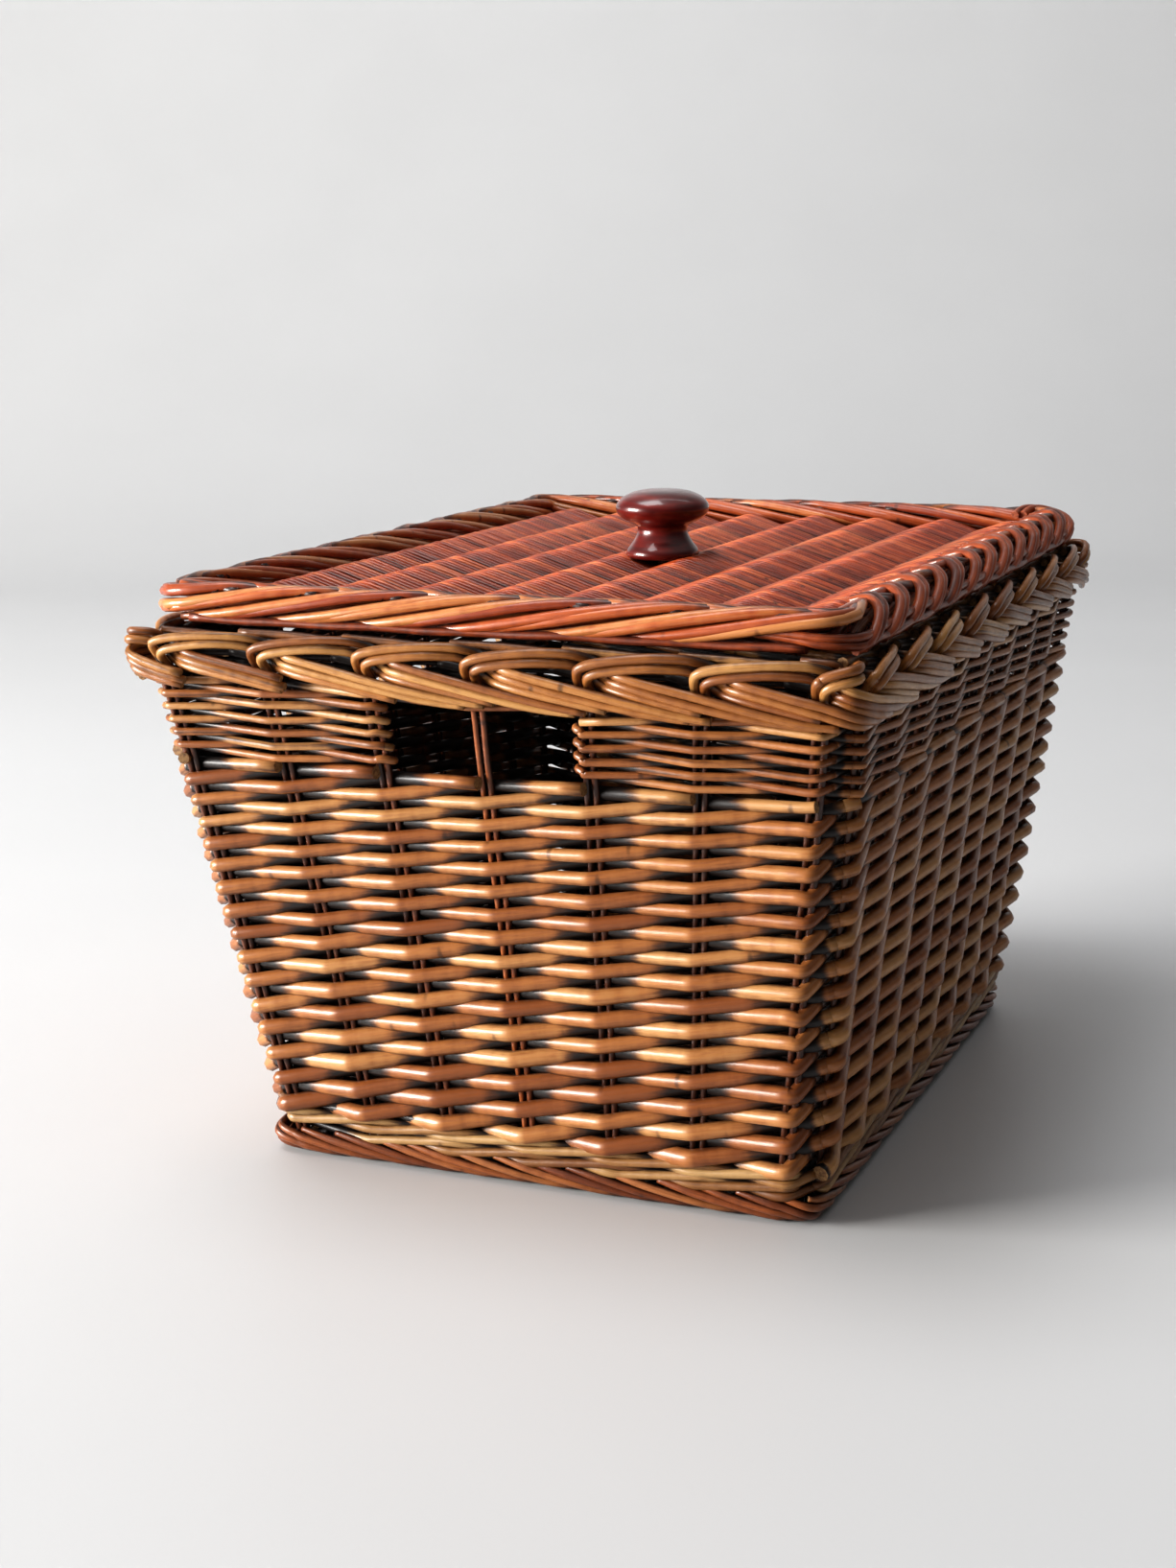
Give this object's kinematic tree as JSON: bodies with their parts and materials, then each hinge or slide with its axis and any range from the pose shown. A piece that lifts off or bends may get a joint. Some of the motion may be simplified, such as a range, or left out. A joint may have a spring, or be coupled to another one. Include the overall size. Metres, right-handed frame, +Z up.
{
  "type": "wicker basket",
  "caption": "Oblong tapered wicker basket with plaited borders, finger holes in its end walls and a lift-off woven lid with a turned knob.",
  "frame": {"origin": "middle of the underside, on the surface that the basket stands on", "axes": "+Z up; +Y along the length, from the front wall, which the knobbed lid's front edge lies over, to the rear wall; +X across the width"},
  "size_m": [0.33, 0.44, 0.2947],
  "materials": {
    "willow_honey": "stained and varnished willow rods, honey to brown",
    "willow_waling": "stained and varnished willow rods, tan",
    "willow_dark": "dark stained willow rods",
    "willow_border": "stained and varnished willow rods, golden brown",
    "willow_foot": "stained and varnished willow rods, red brown",
    "willow_base": "stained willow rods",
    "willow_red": "stained and varnished thin willow rods, mahogany red",
    "willow_lid_edge": "stained and varnished willow rods, mahogany red to brown",
    "lacquered_wood": "turned wood, dark cherry red gloss lacquer",
    "steel": "plain zinc-plated"
  },
  "bodies": {
    "basket": {"base_sticks": "willow_dark", "base_weave": "willow_base", "front_foot_border": "willow_foot", "front_middle_stakes": "willow_dark", "front_stakes": "willow_dark", "front_top_border": "willow_border", "front_upper_weave_left": "willow_honey", "front_upper_weave_right": "willow_honey", "front_waling": "willow_waling", "front_weave": "willow_honey", "left_foot_border": "willow_foot", "left_stakes": "willow_dark", "left_top_border": "willow_border", "left_waling": "willow_waling", "left_weave": "willow_honey", "rear_foot_border": "willow_foot", "rear_middle_stakes": "willow_dark", "rear_stakes": "willow_dark", "rear_top_border": "willow_border", "rear_upper_weave_left": "willow_honey", "rear_upper_weave_right": "willow_honey", "rear_waling": "willow_waling", "rear_weave": "willow_honey", "right_foot_border": "willow_foot", "right_stakes": "willow_dark", "right_top_border": "willow_border", "right_waling": "willow_waling", "right_weave": "willow_honey"},
    "lid": {"knob": "lacquered_wood", "knob_screw": "steel", "knob_washer": "steel", "lid_front_edge": "willow_lid_edge", "lid_left_edge": "willow_lid_edge", "lid_rear_edge": "willow_lid_edge", "lid_right_edge": "willow_lid_edge", "lid_sticks": "willow_red", "lid_weave": "willow_red"}
  },
  "joints": [
    {"name": "lid_lift", "type": "slide", "parent": "basket", "child": "lid", "axis": [0, 0, 1], "range_m": [0, 0.3]}
  ]
}
